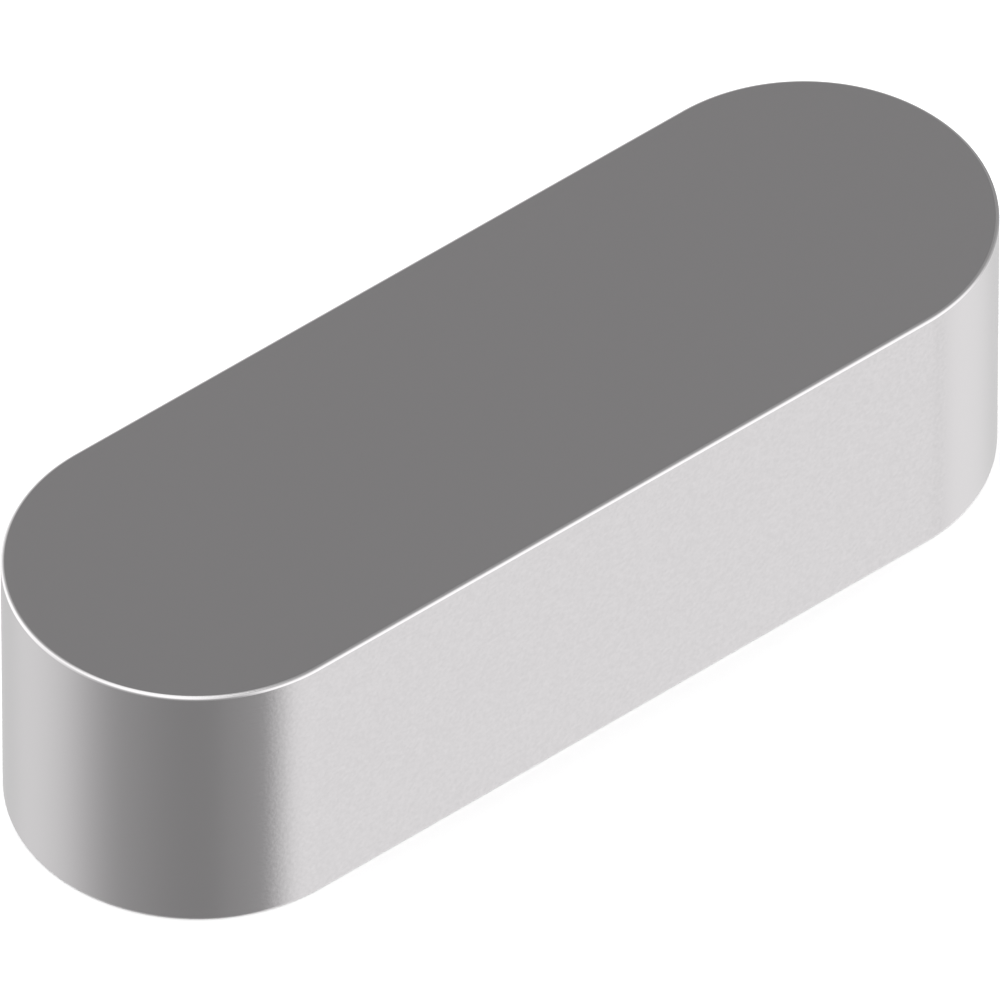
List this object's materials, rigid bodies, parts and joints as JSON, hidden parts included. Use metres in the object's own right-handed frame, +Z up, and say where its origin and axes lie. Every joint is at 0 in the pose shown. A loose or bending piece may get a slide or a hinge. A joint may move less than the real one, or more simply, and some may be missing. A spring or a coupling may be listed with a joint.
{
  "type": "parallel key",
  "caption": "Plain steel key of rectangular section with half-round ends, seated in a milled shaft keyway to carry torque between shaft and hub.",
  "frame": {"origin": "centre of the flat bottom face that the key rests on", "axes": "+X along the key from rounded end to rounded end, +Y across its width, +Z up through its height"},
  "size_m": [0.03, 0.01, 0.008],
  "materials": {
    "key_steel": "fine satin ground"
  },
  "bodies": {
    "root": {"parallel_key": "key_steel"}
  },
  "joints": []
}
